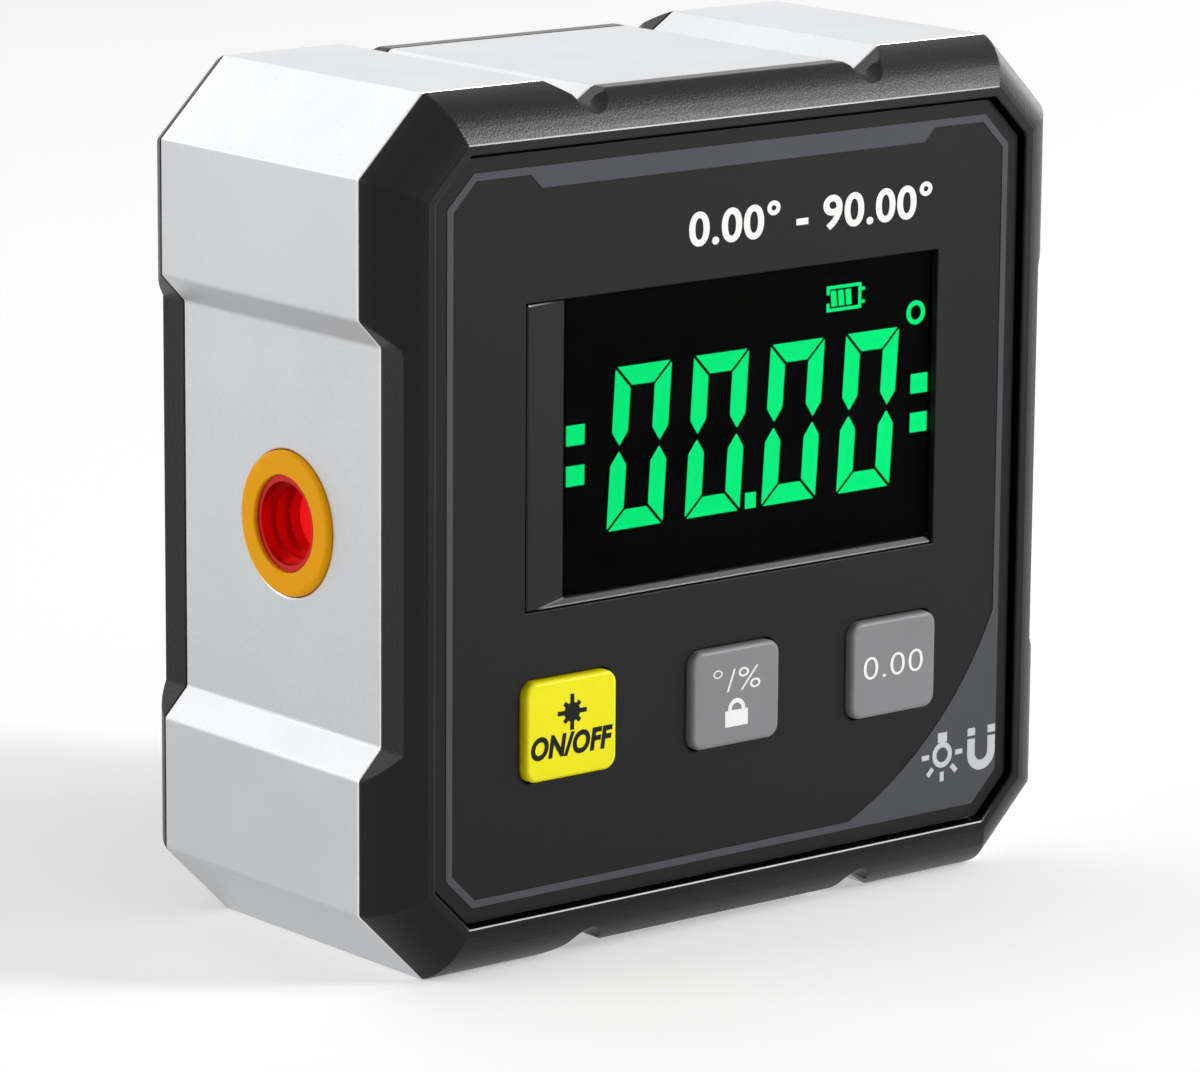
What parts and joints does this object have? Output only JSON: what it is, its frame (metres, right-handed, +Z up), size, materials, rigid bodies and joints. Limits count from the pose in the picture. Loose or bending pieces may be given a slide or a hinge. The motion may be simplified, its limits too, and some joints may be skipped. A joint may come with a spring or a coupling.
{
  "type": "digital angle gauge",
  "caption": "Square digital angle gauge: extruded aluminium frame between moulded covers, lit display, press keys, magnetic base pads and a light outlet in each side.",
  "frame": {"origin": "centre of the base, on the plane of the base pads", "axes": "+X to the right of the face, +Y from the face to the back, +Z up"},
  "size_m": [0.065, 0.031, 0.065],
  "materials": {
    "anodised_aluminium": "fine blasted, anodised",
    "black_moulding": "fine moulded texture",
    "face_charcoal": "satin printed sheet",
    "grey_ink": "screen printed",
    "clear_lens": "polished",
    "display_black": "polished",
    "lit_green": "lit segments",
    "light_guide_white": "diffusing",
    "contact_rubber": "moulded",
    "board_green": "solder resist",
    "chip_black": "moulded epoxy",
    "switch_steel": "stamped",
    "key_yellow": "satin moulded",
    "key_grey": "satin moulded",
    "plunger_black": "moulded",
    "ring_orange": "satin moulded",
    "barrel_red": "turned, red anodised",
    "diode_gilt": "gilt",
    "red_glass": "polished",
    "magnet_nickel": "nickel plated",
    "cell_jacket": "printed jacket",
    "contact_nickel": "nickel plated",
    "screw_black": "blackened",
    "screw_zinc": "zinc plated"
  },
  "bodies": {
    "housing": {"frame": "anodised_aluminium", "front_cover": "black_moulding", "face_plate": "face_charcoal", "face_print": "grey_ink", "display_lens": "clear_lens", "display_glass": "display_black", "display_segments": "lit_green", "light_guide": "light_guide_white", "contact_strip": "contact_rubber", "circuit_board": "board_green", "controller_chip": "chip_black", "tilt_sensor": "chip_black", "key_switches": "switch_steel", "left_ring": "ring_orange", "right_ring": "ring_orange", "left_barrel": "barrel_red", "right_barrel": "barrel_red", "left_lens": "red_glass", "right_lens": "red_glass", "left_diode": "diode_gilt", "right_diode": "diode_gilt", "base_magnets": "magnet_nickel", "back_cover": "black_moulding", "upper_cell": "cell_jacket", "lower_cell": "cell_jacket", "cell_springs": "contact_nickel", "link_contact": "contact_nickel", "end_contacts": "contact_nickel", "board_screws": "screw_zinc", "cover_screws": "screw_black"},
    "power_button": {"power_key": "key_yellow", "power_plunger": "plunger_black"},
    "hold_button": {"hold_key": "key_grey", "hold_plunger": "plunger_black"},
    "zero_button": {"zero_key": "key_grey", "zero_plunger": "plunger_black"},
    "door": {"battery_door": "black_moulding"}
  },
  "joints": [
    {"name": "power_button_press", "type": "slide", "parent": "housing", "child": "power_button", "axis": [0, 1, 0], "range_m": [0, 0.0005], "stiffness_N_per_m": 2400},
    {"name": "hold_button_press", "type": "slide", "parent": "housing", "child": "hold_button", "axis": [0, 1, 0], "range_m": [0, 0.0005], "stiffness_N_per_m": 2400},
    {"name": "zero_button_press", "type": "slide", "parent": "housing", "child": "zero_button", "axis": [0, 1, 0], "range_m": [0, 0.0005], "stiffness_N_per_m": 2400},
    {"name": "door_lift", "type": "slide", "parent": "housing", "child": "door", "axis": [0, 1, 0], "range_m": [0, 0.02]}
  ]
}
